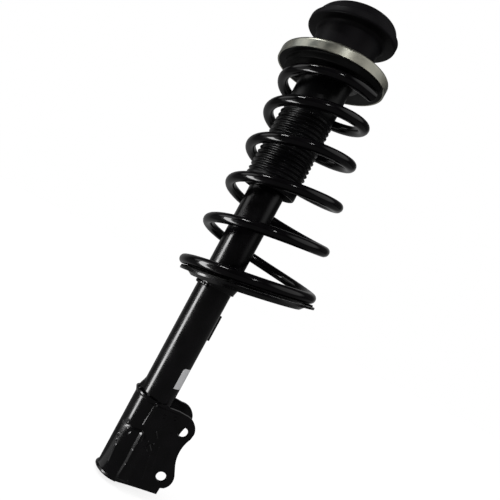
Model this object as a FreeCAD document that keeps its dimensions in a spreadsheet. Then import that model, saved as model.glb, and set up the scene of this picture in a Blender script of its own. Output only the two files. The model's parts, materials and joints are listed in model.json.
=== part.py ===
import FreeCAD, Part
import math
import os
import Sketcher
from FreeCAD import Vector

# Front suspension strut with its coil spring, dust boot and rubber top mount.
# Every piece is drawn about the strut's own axis, with height 0 at the foot of the
# damper tube, and is then placed so that the lower knuckle bolt's axis is the origin.
# +Z runs up the strut, +X from the tube to the knuckle bolts, +Y along those bolts.

SIZES = {
    # damper tube and what closes it
    "tube_radius": 22.5,
    "tube_wall": 2.4,
    "tube_foot": 13.0,
    "tube_top": 447.0,
    "cap_radius": 22.4,
    "cap_bowl_radius": 13.9,
    "cap_dish": 7.0,
    "cap_spigot": 3.5,
    "gland_wall": 1.2,
    "gland_skirt": 9.0,
    "weld_gap": 0.05,
    # knuckle bracket
    "plate_thickness": 4.0,
    "ear_gap": 43.0,
    "ear_bend_reach": 28.0,
    "bracket_foot": 12.2,
    "bracket_head": 123.5,
    "bolt_hole_radius": 6.6,
    "lower_hole_height": 43.2,
    "hole_spacing": 62.0,
    "lower_hole_reach": 47.9,
    "upper_hole_reach": 45.4,
    "lower_lobe": 15.2,
    "upper_lobe": 14.0,
    "far_ear_extra": 3.0,
    "lip_flare": 2.5,
    "lip_height": 5.0,
    # lower spring seat
    "seat_plane_height": 310.0,
    "seat_tilt": 10.5,
    "seat_offset": 30.5,
    "seat_plate": 2.5,
    "seat_recess": 5.0,
    "track_inside": 7.5,
    "track_outside": 3.5,
    "drain_radius": 5.0,
    "drain_reach": 41.0,
    "drain_spread": 70.0,
    "pad_thickness": 2.0,
    "pad_sweep": 250.0,
    "hub_length": 27.0,
    "hub_wall": 2.6,
    "hub_shoulder": 1.6,
    # coil spring
    "wire_radius": 6.5,
    "coil_gap": 0.25,
    "coil_bearing": 9.0,
    "lower_coil_radius": 81.5,
    "upper_coil_radius": 56.5,
    "upper_coil_offset": 7.8,
    "lower_end_turn": 0.31,
    "upper_end_turn": 5.35,
    "taper_turns": 4.77,
    "taper_power": 1.6,
    "height_turns": 5.183,
    "first_turn_drop": 15.5,
    "lower_pitch": 61.7,
    "coil_lean": 0.01,
    "lower_easing": 1.5,
    "upper_easing": 8.0,
    "coil_approach": 2.5,
    # hose bracket
    "hose_plate": 2.5,
    "hose_reach": 24.0,
    "hose_foot": 213.0,
    "hose_height": 37.0,
    "hose_angle": 47.0,
    "hose_sweep": 48.0,
    "hose_hole_radius": 6.0,
    # damper's inside
    "bore_radius": 13.0,
    "cylinder_wall": 1.3,
    "guide_length": 16.0,
    "seal_length": 4.5,
    "rod_radius": 10.0,
    "slide_clearance": 0.05,
    "thread_radius": 7.0,
    "tenon_radius": 6.0,
    "piston_length": 13.0,
    "ring_height": 7.0,
    "ring_depth": 1.6,
    "rebound_length": 13.5,
    "stop_gap": 0.3,
    "nut_height": 8.0,
    "piston_nut_flats": 17.0,
    "tenon_end": 3.0,
    "valve_length": 12.0,
    "valve_flange": 2.0,
    "valve_boss": 5.0,
    # bump stop
    "bump_radius": 21.0,
    "bump_length": 46.0,
    "bump_cup_height": 8.0,
    "bump_cup_wall": 1.5,
    # dust boot
    "boot_foot": 431.0,
    "boot_cuff": 7.0,
    "boot_crest": 33.0,
    "boot_valley": 30.2,
    "boot_sleeve_radius": 31.6,
    "boot_wall": 1.6,
    "rib_pitch": 6.2,
    "rib_count": 12,
    "boot_flange_radius": 40.0,
    "boot_flange": 2.5,
    # upper spring seat and its rubber
    "upper_seat_foot": 575.0,
    "upper_seat_height": 12.6,
    "upper_seat_radius": 68.0,
    "upper_seat_plate": 2.0,
    "upper_seat_bore": 28.0,
    "upper_pad_bore": 31.0,
    "bed_depth": 7.5,
    "bed_half_width": 7.0,
    "bed_start": 150.0,
    "bed_sweep": 175.0,
    # steering bearing
    "race_outer": 34.5,
    "race_inner": 28.0,
    "race_thickness": 3.0,
    "ball_radius": 2.4,
    "ball_circle": 31.2,
    "ball_count": 20,
    "race_dip": 0.9,
    "turn_gap": 0.3,
    # top mount
    "mount_plate": 3.0,
    "neck_radius": 36.7,
    "neck_top_radius": 40.5,
    "mount_neck_height": 39.9,
    "mount_radius": 54.8,
    "mount_rim_height": 8.0,
    "mount_rim_rounding": 2.5,
    "mount_dome_radius": 51.4,
    "mount_dome_height": 32.0,
    "crown_recess": 16.0,
    "crown_radius": 24.0,
    "sleeve_radius": 12.0,
    "sleeve_head": 2.5,
    "washer_radius": 18.0,
    "washer_thickness": 3.0,
    "nut_flats": 22.0,
    "top_nut_height": 10.0,
    "stud_length": 10.0,
    "relief_length": 1.2,
}

SHEET = "Sizes"
FULL_TURN = 360.0

document = FreeCAD.newDocument("strut")
sheet = document.addObject("Spreadsheet::Sheet", SHEET)
for row, (alias, number) in enumerate(SIZES.items(), start=1):
    sheet.set("A%d" % row, alias)
    sheet.set("B%d" % row, str(number))
    sheet.setAlias("B%d" % row, alias)
document.recompute()


class Size:
    """A length with the sheet expression that it follows."""

    def __init__(self, value, text):
        self.value = float(value)
        self.text = text

    def __add__(self, other):
        other = as_size(other)
        return Size(self.value + other.value, "(%s + %s)" % (self.text, other.text))

    def __radd__(self, other):
        return as_size(other) + self

    def __sub__(self, other):
        other = as_size(other)
        return Size(self.value - other.value, "(%s - %s)" % (self.text, other.text))

    def __rsub__(self, other):
        return as_size(other) - self

    def __mul__(self, other):
        other = as_size(other)
        return Size(self.value * other.value, "(%s * %s)" % (self.text, other.text))

    def __rmul__(self, other):
        return as_size(other) * self

    def __truediv__(self, other):
        other = as_size(other)
        return Size(self.value / other.value, "(%s / %s)" % (self.text, other.text))

    def __neg__(self):
        return Size(-self.value, "(0 - %s)" % self.text)


def as_size(number):
    if isinstance(number, Size):
        return number
    return Size(number, "%.6f" % number)


def size(alias):
    """The named cell of the sheet."""
    return Size(getattr(sheet, alias), "%s.%s" % (SHEET, alias))


parts = []


def turn_about(item, axis, angle):
    """Turns a piece about one axis of its own frame by an angle of the sheet."""
    item.Placement.Rotation = FreeCAD.Rotation(axis, 0)
    item.setExpression("Placement.Rotation.Angle", angle.text)
    item.setExpression("Placement.Rotation.Axis.x", "%d" % axis.x)
    item.setExpression("Placement.Rotation.Axis.y", "%d" % axis.y)
    item.setExpression("Placement.Rotation.Axis.z", "%d" % axis.z)
    return item


def finish_at_coil(item, label):
    """Finishes a piece that was drawn with the coil's centre line on +X."""
    return finish(turn_about(item, Vector(0, 0, 1), -size("coil_bearing")), label)


def finish(item, label):
    """Names a finished sub-part and moves it from the strut's axis to the bolt's axis."""
    item.Label = label
    item.setExpression("Placement.Base.x", (-size("lower_hole_reach")).text)
    item.setExpression("Placement.Base.z", (-size("lower_hole_height")).text)
    parts.append(item)
    return item


def plane_of(body, role):
    for feature in body.Origin.OriginFeatures:
        if feature.Role == role:
            return feature
    return None


def draw_outline(sketch, corners):
    """Closed outline through the corners. A third value bends the edge that arrives there:
    it is the arc's radius, positive where the outline turns left."""
    count = len(corners)
    ends = []
    for index in range(count):
        start = corners[index]
        stop = corners[(index + 1) % count]
        p = Vector(as_size(start[0]).value, as_size(start[1]).value, 0)
        q = Vector(as_size(stop[0]).value, as_size(stop[1]).value, 0)
        if len(stop) == 3:
            bend = as_size(stop[2])
            radius = abs(bend.value)
            half = (q - p).Length / 2
            across = Vector(-(q - p).y, (q - p).x, 0).normalize()
            side = 1 if bend.value > 0 else -1
            centre = (p + q) * 0.5 + across * side * math.sqrt(max(radius ** 2 - half ** 2, 0))
            first, last = (p, q) if side > 0 else (q, p)
            start_angle = math.atan2(first.y - centre.y, first.x - centre.x)
            stop_angle = math.atan2(last.y - centre.y, last.x - centre.x)
            circle = Part.Circle(centre, Vector(0, 0, 1), radius)
            edge = sketch.addGeometry(Part.ArcOfCircle(circle, start_angle, stop_angle), False)
            ends.append((edge, 1, 2) if side > 0 else (edge, 2, 1))
            number = sketch.addConstraint(Sketcher.Constraint("Radius", edge, radius))
            positive = bend if side > 0 else -bend
            sketch.setExpression("Constraints[%d]" % number, positive.text)
        else:
            edge = sketch.addGeometry(Part.LineSegment(p, q), False)
            ends.append((edge, 1, 2))
    for index in range(count):
        edge, head, tail = ends[index]
        next_edge, next_head, next_tail = ends[(index + 1) % count]
        sketch.addConstraint(Sketcher.Constraint("Coincident", edge, tail, next_edge, next_head))
        place = [as_size(value) for value in corners[index][:2]]
        for kind, value, axis in (("DistanceX", place[0], -2), ("DistanceY", place[1], -1)):
            if abs(value.value) < 1e-9:
                sketch.addConstraint(Sketcher.Constraint("PointOnObject", edge, head, axis))
                continue
            constraint = Sketcher.Constraint(kind, -1, 1, edge, head, value.value)
            number = sketch.addConstraint(constraint)
            sketch.setExpression("Constraints[%d]" % number, value.text)


def sketch_in(body, role, name, corners):
    sketch = body.newObject("Sketcher::SketchObject", name)
    sketch.AttachmentSupport = [(plane_of(body, role), "")]
    sketch.MapMode = "FlatFace"
    draw_outline(sketch, corners)
    return sketch


def free_sketch(name, corners, upright=True):
    """A sketch outside a body, standing in the XZ plane or lying in XY."""
    sketch = document.addObject("Sketcher::SketchObject", name)
    if upright:
        turn = FreeCAD.Rotation(Vector(1, 0, 0), 90)
        sketch.Placement = FreeCAD.Placement(Vector(0, 0, 0), turn)
    draw_outline(sketch, corners)
    return sketch


def turned_body(label, corners):
    """A body of revolution about the strut's axis; the corners are radius and height."""
    body = document.addObject("PartDesign::Body", label)
    sketch = sketch_in(body, "XZ_Plane", label + "_outline", corners)
    revolution = body.newObject("PartDesign::Revolution", label + "_turn")
    revolution.Profile = sketch
    revolution.ReferenceAxis = (sketch, ["V_Axis"])
    revolution.Angle = FULL_TURN
    body.Tip = revolution
    sketch.Visibility = False
    return body


def turned(label, corners):
    return finish(turned_body(label, corners), label)


def ring(label, inner, outer, foot, head):
    """A plain ring."""
    return turned(label, [(inner, foot), (outer, foot), (outer, head), (inner, head)])


def set_sizes(item, **sizes):
    """Binds properties of a primitive to the sheet."""
    for name, value in sizes.items():
        item.setExpression(name.replace("__", "."), as_size(value).text)
    return item


def cylinder(name, radius, height, x=0, y=0, z=0):
    item = document.addObject("Part::Cylinder", name)
    return set_sizes(item, Radius=radius, Height=height,
                     Placement__Base__x=x, Placement__Base__y=y, Placement__Base__z=z)


def box(name, length, width, height, x=0, y=0, z=0):
    item = document.addObject("Part::Box", name)
    return set_sizes(item, Length=length, Width=width, Height=height,
                     Placement__Base__x=x, Placement__Base__y=y, Placement__Base__z=z)


def joined(kind, name, base, tool):
    item = document.addObject(kind, name)
    item.Base = base
    item.Tool = tool
    return item


def cut(name, base, tool):
    return joined("Part::Cut", name, base, tool)


def common(name, base, tool):
    return joined("Part::Common", name, base, tool)


def fuse(name, shapes):
    item = document.addObject("Part::MultiFuse", name)
    item.Shapes = shapes
    return item


def extruded(name, sketch, direction, length, symmetric=False):
    item = document.addObject("Part::Extrusion", name)
    item.Base = sketch
    item.DirMode = "Custom"
    item.Dir = direction
    item.Solid = True
    item.Symmetric = symmetric
    item.setExpression("LengthFwd", as_size(length).text)
    return item


# Heights and radii that several pieces share
tube_radius = size("tube_radius")
tube_inner = tube_radius - size("tube_wall")
tube_top = size("tube_top")
weld_gap = size("weld_gap")
rod_radius = size("rod_radius")
clearance = size("slide_clearance")
bore_radius = size("bore_radius")
cylinder_outer = bore_radius + size("cylinder_wall")
thread_radius = size("thread_radius")
tenon_radius = size("tenon_radius")
stop_gap = size("stop_gap")
turn_gap = size("turn_gap")
cap_top = size("tube_foot") + size("cap_spigot")
seal_foot = tube_top - size("seal_length")
guide_foot = seal_foot - size("guide_length")
piston_top = guide_foot - stop_gap - size("rebound_length")
piston_foot = piston_top - size("piston_length")
upper_seat_foot = size("upper_seat_foot")
upper_seat_top = upper_seat_foot + size("upper_seat_height")
race_thickness = size("race_thickness")
ball_radius = size("ball_radius")
ball_height = upper_seat_top + race_thickness + ball_radius - size("race_dip") + turn_gap / 3
upper_race_foot = ball_height + ball_radius - size("race_dip") + turn_gap
plate_foot = upper_race_foot + race_thickness
plate_top = plate_foot + size("mount_plate")
mount_flange = upper_seat_top + size("mount_neck_height")
crown_top = mount_flange + size("mount_dome_height")
recess_floor = crown_top - size("crown_recess")
mount_top = recess_floor + size("sleeve_head")
seat_plane = size("seat_plane_height")
hub_foot = seat_plane - size("hub_length")
bed_foot = upper_seat_foot - size("bed_depth")


# Damper tube, its foot and its head

def make_damper_tube():
    foot = size("tube_foot")
    chamfer = size("tube_wall") / 4
    turned("damper_tube", [
        (tube_inner, foot),
        (tube_radius - chamfer, foot),
        (tube_radius, foot + chamfer),
        (tube_radius, tube_top),
        (tube_inner, tube_top),
    ])


def make_base_cap():
    """Dished cap: a shallow bowl below, a weld shoulder and a spigot inside the tube."""
    shoulder = size("tube_foot")
    bowl_foot = shoulder - size("cap_dish")
    rim = size("cap_radius")
    bowl = size("cap_bowl_radius")
    edge = size("cap_dish") / 7
    spigot = tube_inner - weld_gap
    inner_radius = spigot - size("plate_thickness")
    inner_floor = bowl_foot + size("plate_thickness")
    turned("tube_base_cap", [
        (0, bowl_foot),
        (bowl, bowl_foot + edge),
        (rim, shoulder - edge, rim * 0.55),
        (rim, shoulder),
        (spigot, shoulder),
        (spigot, cap_top),
        (inner_radius, cap_top),
        (inner_radius - 2.0, inner_floor),
        (0, inner_floor),
    ])


def make_gland_cap():
    """Pressed cap over the tube's head, with the hole for the rod."""
    inner = tube_radius + weld_gap
    outer = inner + size("gland_wall")
    top = tube_top + size("gland_wall")
    skirt_foot = tube_top - size("gland_skirt")
    rounding = size("gland_wall")
    turned("gland_cap", [
        (inner, skirt_foot),
        (outer, skirt_foot),
        (outer, top - rounding),
        (outer - rounding, top, rounding),
        (rod_radius + 1.5, top),
        (rod_radius + 1.5, tube_top),
        (inner, tube_top),
    ])


# Damper's inside

def make_cylinder_and_valve():
    flange_top = cap_top + size("valve_flange")
    ring("inner_cylinder", bore_radius, cylinder_outer, flange_top, guide_foot)
    valve_radius = bore_radius - clearance
    boss = size("valve_boss")
    head = cap_top + size("valve_length")
    turned("base_valve", [
        (0, flange_top),
        (boss * 0.8, flange_top),
        (boss * 0.8, cap_top),
        (cylinder_outer, cap_top),
        (cylinder_outer, flange_top),
        (valve_radius, flange_top),
        (valve_radius, head),
        (boss * 1.2, head),
        (boss, head + boss * 0.8),
        (0, head + boss * 0.8),
    ])


def make_guide_and_seal():
    outer = tube_inner - weld_gap
    step = guide_foot + size("guide_length") / 2
    rod_hole = rod_radius + clearance
    turned("rod_guide", [
        (rod_hole, guide_foot),
        (cylinder_outer + 1.0, guide_foot),
        (outer, step),
        (outer, seal_foot),
        (rod_hole, seal_foot),
    ])
    lip = size("seal_length") / 3
    turned("rod_seal", [
        (rod_hole + lip, seal_foot),
        (outer, seal_foot),
        (outer, tube_top),
        (rod_hole + lip, tube_top),
        (rod_hole, tube_top - lip),
        (rod_hole, seal_foot + lip),
    ])


def make_rod():
    """Rod with a tenon for the piston below and a threaded stud above its shoulder."""
    relief_foot = mount_top + size("washer_thickness") + size("top_nut_height")
    relief_top = relief_foot + size("relief_length")
    stud_top = relief_foot + size("stud_length")
    tenon_foot = piston_foot - size("nut_height") - size("tenon_end")
    chamfer = thread_radius / 5
    socket = thread_radius / 2
    turned("piston_rod", [
        (0, tenon_foot),
        (tenon_radius, tenon_foot),
        (tenon_radius, piston_top),
        (rod_radius, piston_top),
        (rod_radius, plate_foot),
        (thread_radius, plate_foot),
        (thread_radius, relief_foot),
        (tenon_radius, relief_foot),
        (tenon_radius, relief_top),
        (thread_radius, relief_top),
        (thread_radius, stud_top - chamfer),
        (thread_radius - chamfer, stud_top),
        (socket, stud_top),
        (socket, stud_top - thread_radius),
        (0, stud_top - thread_radius),
    ])


def make_piston():
    groove_foot = piston_foot + (size("piston_length") - size("ring_height")) / 2
    groove_head = groove_foot + size("ring_height")
    outer = bore_radius - 0.4
    groove = outer - size("ring_depth")
    hole = tenon_radius + clearance
    turned("piston", [
        (hole, piston_foot),
        (outer, piston_foot),
        (outer, groove_foot),
        (groove, groove_foot),
        (groove, groove_head),
        (outer, groove_head),
        (outer, piston_top),
        (hole, piston_top),
    ])
    ring("piston_ring", groove + clearance, bore_radius - clearance,
         groove_foot + clearance, groove_head - clearance)
    rebound_outer = bore_radius - 0.6
    waist = rebound_outer - 0.7
    head = piston_top + size("rebound_length")
    turned("rebound_stop", [
        (rod_radius + clearance, piston_top),
        (rebound_outer, piston_top),
        (waist, piston_top + size("rebound_length") / 2),
        (rebound_outer, head),
        (rod_radius + clearance, head),
    ])
    hexagon_nut("piston_nut", size("piston_nut_flats"), tenon_radius + clearance,
                piston_foot - size("nut_height"), size("nut_height"))


def hexagon_nut(label, flats, hole, foot, height):
    """Hexagon prism with a plain bore, its corners turned off by a cone at the top."""
    prism = document.addObject("Part::Prism", label + "_prism")
    prism.Polygon = 6
    corner_radius = flats / math.sqrt(3)
    set_sizes(prism, Circumradius=corner_radius, Height=height, Placement__Base__z=foot)
    turning = document.addObject("Part::Cone", label + "_turning")
    set_sizes(turning, Radius1=flats * 0.5 + height * 1.2, Radius2=flats * 0.48,
              Height=height, Placement__Base__z=foot)
    trimmed = common(label + "_trimmed", prism, turning)
    drill = cylinder(label + "_drill", hole, height * 3, z=foot - height)
    return finish(cut(label, trimmed, drill), label)


# Knuckle bracket

def make_knuckle_bracket():
    """Stamped plate wrapped round the tube, its two ears drilled for the knuckle bolts."""
    thickness = size("plate_thickness")
    inner = tube_radius + weld_gap
    outer = inner + thickness
    foot = size("bracket_foot")
    head = size("bracket_head")
    low_hole = size("lower_hole_height")
    high_hole = low_hole + size("hole_spacing")
    low_reach = size("lower_hole_reach")
    high_reach = size("upper_hole_reach")
    low_lobe = size("lower_lobe")
    high_lobe = size("upper_lobe")
    half = half_section(inner, outer, thickness)
    height = high_hole + high_lobe * 2
    half_plate = extruded("bracket_half", half, Vector(0, 0, 1), height)
    mirrored = document.addObject("Part::Mirroring", "bracket_other_half")
    mirrored.Source = half_plate
    mirrored.Normal = Vector(0, 1, 0)
    wrap = fuse("bracket_wrap", [half_plate, mirrored])
    reach = outer * 1.5
    waist = size("hole_spacing") * 0.75
    sides = []
    for name, way, extra in (("near", -1, as_size(0)), ("far", 1, size("far_ear_extra"))):
        outline = free_sketch("bracket_%s_side" % name, [
            (-reach, foot),
            (0, foot),
            (low_reach + low_lobe * 0.33, low_hole - low_lobe * 1.48),
            (low_reach + low_lobe * 0.36, low_hole - low_lobe * 0.88),
            (low_reach + low_lobe * 0.63, low_hole - low_lobe * 0.77),
            (low_reach + low_lobe * 1.04, low_hole + low_lobe * 0.16, low_lobe * 1.12),
            (low_reach + low_lobe * 0.95, low_hole + low_lobe * 0.57, low_lobe * 1.3),
            (low_reach + low_lobe * 0.67 + extra, low_hole + low_lobe * 1.18),
            (high_reach + high_lobe * 0.89 + extra, high_hole - high_lobe * 0.26, -waist),
            (high_reach + high_lobe * 0.97 + extra, high_hole + high_lobe * 0.27),
            (high_reach - high_lobe * 0.39, high_hole + high_lobe * 1.49, high_lobe * 1.3),
            (high_reach - high_lobe * 1.1, high_hole + high_lobe * 1.52),
            (0, head),
            (-reach, head),
        ])
        sides.append(extruded("bracket_%s_block" % name, outline, Vector(0, way, 0), outer * 1.5))
    trimmed = common("bracket_trimmed", wrap, fuse("bracket_side_blocks", sides))
    rise = size("lip_height")
    lips = fuse("bracket_body", [trimmed, rim_lip("bracket_head_lip", inner, outer, head, rise),
                                 rim_lip("bracket_foot_lip", inner, outer, foot, -rise / 2)])
    drills = []
    for name, x, z in (("lower", low_reach, low_hole), ("upper", high_reach, high_hole)):
        drill = cylinder("bracket_drill_" + name, size("bolt_hole_radius"), outer * 4,
                         x=x, y=outer * 2, z=z)
        drill.Placement.Rotation = FreeCAD.Rotation(Vector(1, 0, 0), 90)
        drills.append(drill)
    finish(cut("knuckle_bracket", lips, fuse("bracket_drills", drills)), "knuckle_bracket")


def half_section(inner, outer, thickness):
    """Plan of one half: arc round the tube, a flank that leaves it at a tangent, and the ear."""
    ear_inner = size("ear_gap") / 2
    bend = size("ear_bend_reach")
    tip = size("lower_hole_reach") + size("lower_lobe") * 1.5
    sketch = document.addObject("Sketcher::SketchObject", "bracket_plan")
    flank_angle = math.atan2(ear_inner.value, bend.value)
    flank_angle += math.acos(inner.value / math.hypot(ear_inner.value, bend.value))
    normal = Vector(0, 0, 1)
    origin = Vector(0, 0, 0)

    def on_arc(radius):
        return Vector(radius * math.cos(flank_angle), radius * math.sin(flank_angle), 0)

    inner_arc = Part.ArcOfCircle(Part.Circle(origin, normal, inner.value), flank_angle, math.pi)
    outer_arc = Part.ArcOfCircle(Part.Circle(origin, normal, outer.value), flank_angle, math.pi)
    inner_bend = Vector(bend.value, ear_inner.value, 0)
    outer_bend = Vector(bend.value + 0.3, ear_inner.value + thickness.value, 0)
    inner_tip = Vector(tip.value, ear_inner.value, 0)
    outer_tip = Vector(tip.value, ear_inner.value + thickness.value, 0)
    edges = [
        inner_arc,
        Part.LineSegment(on_arc(inner.value), inner_bend),
        Part.LineSegment(inner_bend, inner_tip),
        Part.LineSegment(inner_tip, outer_tip),
        Part.LineSegment(outer_tip, outer_bend),
        Part.LineSegment(outer_bend, on_arc(outer.value)),
        outer_arc,
        Part.LineSegment(Vector(-outer.value, 0, 0), Vector(-inner.value, 0, 0)),
    ]
    for edge in edges:
        sketch.addGeometry(edge, False)
    start, end, centre = 1, 2, 3
    rules = [
        ("Coincident", 0, centre, -1, 1),
        ("Coincident", 6, centre, -1, 1),
        ("Tangent", 0, start, 1, start),
        ("Tangent", 6, start, 5, end),
        ("Coincident", 1, end, 2, start),
        ("Coincident", 2, end, 3, start),
        ("Coincident", 3, end, 4, start),
        ("Coincident", 4, end, 5, start),
        ("Coincident", 6, end, 7, start),
        ("Coincident", 7, end, 0, end),
        ("PointOnObject", 7, start, -1),
        ("PointOnObject", 7, end, -1),
        ("Horizontal", 2),
        ("Vertical", 3),
        ("Horizontal", 4),
        ("Parallel", 1, 5),
    ]
    for rule in rules:
        sketch.addConstraint(Sketcher.Constraint(*rule))
    sizes = [
        (("Radius", 0), inner),
        (("Radius", 6), outer),
        (("DistanceX", -1, 1, 1, end), bend),
        (("DistanceY", -1, 1, 1, end), ear_inner),
        (("DistanceX", -1, 1, 3, start), tip),
        (("DistanceY", 3, start, 3, end), thickness),
    ]
    for rule, value in sizes:
        number = sketch.addConstraint(Sketcher.Constraint(*rule, value.value))
        sketch.setExpression("Constraints[%d]" % number, value.text)
    return sketch


def rim_lip(name, inner, outer, edge_height, rise):
    """Rim of the wrap, flared away from the tube and fading out towards the ears.
    The rise is its height, negative for the rim at the foot."""
    flare = size("lip_flare")
    sketch = free_sketch(name + "_outline", [
        (inner, edge_height - rise),
        (outer, edge_height - rise),
        (outer + flare, edge_height + rise * 0.2),
        (outer + flare * 0.4, edge_height + rise * 0.4),
        (inner + flare * 0.6, edge_height + rise * 0.1),
    ])
    turning = document.addObject("Part::Revolution", name + "_turn")
    turning.Source = sketch
    turning.Axis = Vector(0, 0, 1)
    turning.Angle = FULL_TURN
    turning.Solid = True
    width = outer * 3
    band = size("lip_height") * 4
    below = edge_height - band / 2
    behind = box(name + "_behind", width, width, band, x=-width, y=-width / 2, z=below)
    fading = cylinder(name + "_fading", outer, band, x=-flare, z=below)
    return common(name, turning, common(name + "_keep", behind, fading))


# Lower spring seat, carried by its hub and tilted towards the tube

def tilted(item):
    """Tips a piece drawn about the spring's lower end into the plane of the lower seat."""
    turn_about(item, Vector(0, 1, 0), -size("seat_tilt"))
    item.setExpression("Placement.Base.x", size("seat_offset").text)
    item.setExpression("Placement.Base.z", seat_plane.text)
    return item


def make_lower_seat():
    """Dish with a raised track for the end coil, its middle pressed down to the hub."""
    wire = size("wire_radius")
    coil = size("lower_coil_radius")
    track_top = -(wire + size("coil_gap") + size("pad_thickness"))
    plate = size("seat_plate")
    track_in = coil - size("track_inside")
    track_out = coil + size("track_outside")
    floor_top = track_top - size("seat_recess")
    slope = size("seat_recess") * 1.2
    dish = tilted(turned_body("seat_dish", [
        (0, floor_top - plate),
        (track_in - slope + plate / 2, floor_top - plate),
        (track_in + plate / 2, track_top - plate),
        (track_out, track_top - plate),
        (track_out, track_top),
        (track_in, track_top),
        (track_in - slope, floor_top),
        (0, floor_top),
    ]))
    way = cylinder("seat_tube_way", tube_radius + weld_gap, tube_top)
    pieces = [way]
    for index in (-1, 0, 1):
        angle = math.radians(size("drain_spread").value * index)
        drain = cylinder("seat_drain_%d" % (index + 1), size("drain_radius"), tube_top,
                         x=size("seat_offset") + size("drain_reach") * math.cos(angle),
                         y=size("drain_reach") * math.sin(angle))
        pieces.append(drain)
    finish_at_coil(cut("lower_spring_seat", dish, fuse("seat_ways", pieces)),
                   "lower_spring_seat")
    pad_thickness = size("pad_thickness")
    pad = turned_body("pad_ring", [
        (track_in + pad_thickness / 2, track_top),
        (track_out - pad_thickness / 4, track_top),
        (track_out - pad_thickness / 4, track_top + pad_thickness),
        (track_in + pad_thickness / 2, track_top + pad_thickness),
    ])
    pad.Group[-1].setExpression("Angle", size("pad_sweep").text)
    placed = document.addObject("Part::Compound", "placed_pad")
    placed.Links = [tilted(pad)]
    finish_at_coil(placed, "lower_insulator")
    hub_outer = tube_radius + size("hub_wall")
    hub_shoulder = hub_outer + size("hub_shoulder")
    hub = turned_body("hub_sleeve", [
        (tube_radius + weld_gap, hub_foot),
        (hub_outer, hub_foot),
        (hub_shoulder, hub_foot + size("hub_shoulder") * 4),
        (hub_shoulder, seat_plane),
        (tube_radius + weld_gap, seat_plane),
    ])
    above = tilted(turned_body("above_the_dish_floor", [
        (0, floor_top - plate),
        (coil, floor_top - plate),
        (coil, coil),
        (0, coil),
    ]))
    finish_at_coil(cut("lower_seat_hub", hub, above), "lower_seat_hub")


# Hose bracket on the far side of the tube

def make_hose_bracket():
    plate = size("hose_plate")
    foot = size("hose_foot")
    height = size("hose_height")
    inner = tube_radius + weld_gap
    shell = turned_body("hose_foot_ring", [
        (inner, foot),
        (inner + plate, foot),
        (inner + plate, foot + height),
        (inner, foot + height),
    ])
    shell.Group[-1].setExpression("Angle", size("hose_sweep").text)
    tab = box("hose_tab", size("hose_reach"), plate, height,
              x=inner + plate / 2, y=-plate, z=foot)
    slot = cylinder("hose_slot", size("hose_hole_radius"), plate * 5,
                    x=inner + size("hose_reach") * 0.62, y=plate * 2, z=foot + height * 0.6)
    slot.Placement.Rotation = FreeCAD.Rotation(Vector(1, 0, 0), 90)
    whole = cut("hose_plate_whole", fuse("hose_plates", [shell, tab]), slot)
    placed = document.addObject("Part::Compound", "hose_bracket")
    placed.Links = [whole]
    finish(turn_about(placed, Vector(0, 0, 1), size("hose_angle")), "hose_bracket")


# Coil spring

def eased(height, knee):
    """The height where it is well above zero, fading to zero below, rounded over the knee."""
    return knee * math.log1p(math.exp(-abs(height) / knee)) + max(height, 0.0)


def spring_point(t):
    """Centre of the wire t turns after the point above its lower end that lies on -X."""
    turns = size("height_turns").value
    share = min(max(t / size("taper_turns").value, 0.0), 1.0)
    radius_low = size("lower_coil_radius").value
    radius_high = size("upper_coil_radius").value
    fading = (1.0 - share) ** size("taper_power").value
    radius = radius_high + (radius_low - radius_high) * fading
    offset_low = size("seat_offset").value
    offset_high = size("upper_coil_offset").value
    offset = offset_low + (offset_high - offset_low) * share
    angle = math.pi + 2 * math.pi * t
    x = offset + radius * math.cos(angle)
    y = radius * math.sin(angle)
    wire_top = size("wire_radius") + size("coil_gap")
    top = (bed_foot - wire_top + size("coil_approach")).value
    start = (seat_plane - size("first_turn_drop")).value
    pitch = size("lower_pitch").value
    pitch_change = 2 * ((top - start) / turns - pitch)
    lean = size("coil_lean").value * (1.0 - share) * (x - offset)
    free = start + pitch * t + pitch_change * t * t / (2 * turns) + lean
    slope = math.tan(math.radians(size("seat_tilt").value))
    low = seat_plane.value + slope * (x - offset_low)
    height = low + eased(free - low, size("lower_easing").value)
    height = top - eased(top - height, size("upper_easing").value)
    return Vector(x, y, height)


def biarc(p, along_p, q, along_q):
    """Two tangent arcs from p to q that leave and arrive along the given directions."""
    across = q - p
    both = along_p + along_q
    a = 2 * (1 - along_p.dot(along_q))
    b = 2 * across.dot(both)
    c = -across.dot(across)
    reach = (-b + math.sqrt(b * b - 4 * a * c)) / (2 * a) if a > 1e-9 else -c / b
    joint = (p + along_p * reach + q - along_q * reach) * 0.5
    return [arc_from(p, along_p, joint), arc_from(q, along_q * -1, joint)]


def arc_from(start, along, stop):
    """Arc that leaves start in the given direction and ends at stop."""
    chord = stop - start
    half = chord.Length / 2
    unit = Vector(chord).normalize()
    cosine = max(min(unit.dot(along), 1.0), -1.0)
    angle = math.acos(cosine)
    side = along - unit * cosine
    if side.Length < 1e-9:
        return Part.LineSegment(start, stop)
    side = side.normalize()
    rise = half * math.tan(angle / 2)
    return Part.Arc(start, start + unit * half + side * rise, stop)


def spring_knots():
    """Places and directions of the wire at every quarter turn."""
    step = 0.25
    start = -size("lower_end_turn").value
    stop = size("upper_end_turn").value
    count = int(round((stop - start) / step))
    knots = []
    tiny = 1e-4
    for index in range(count + 1):
        t = start + (stop - start) * index / count
        direction = (spring_point(t + tiny) - spring_point(t - tiny)).normalize()
        knots.append((spring_point(t), direction))
    return knots


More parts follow.
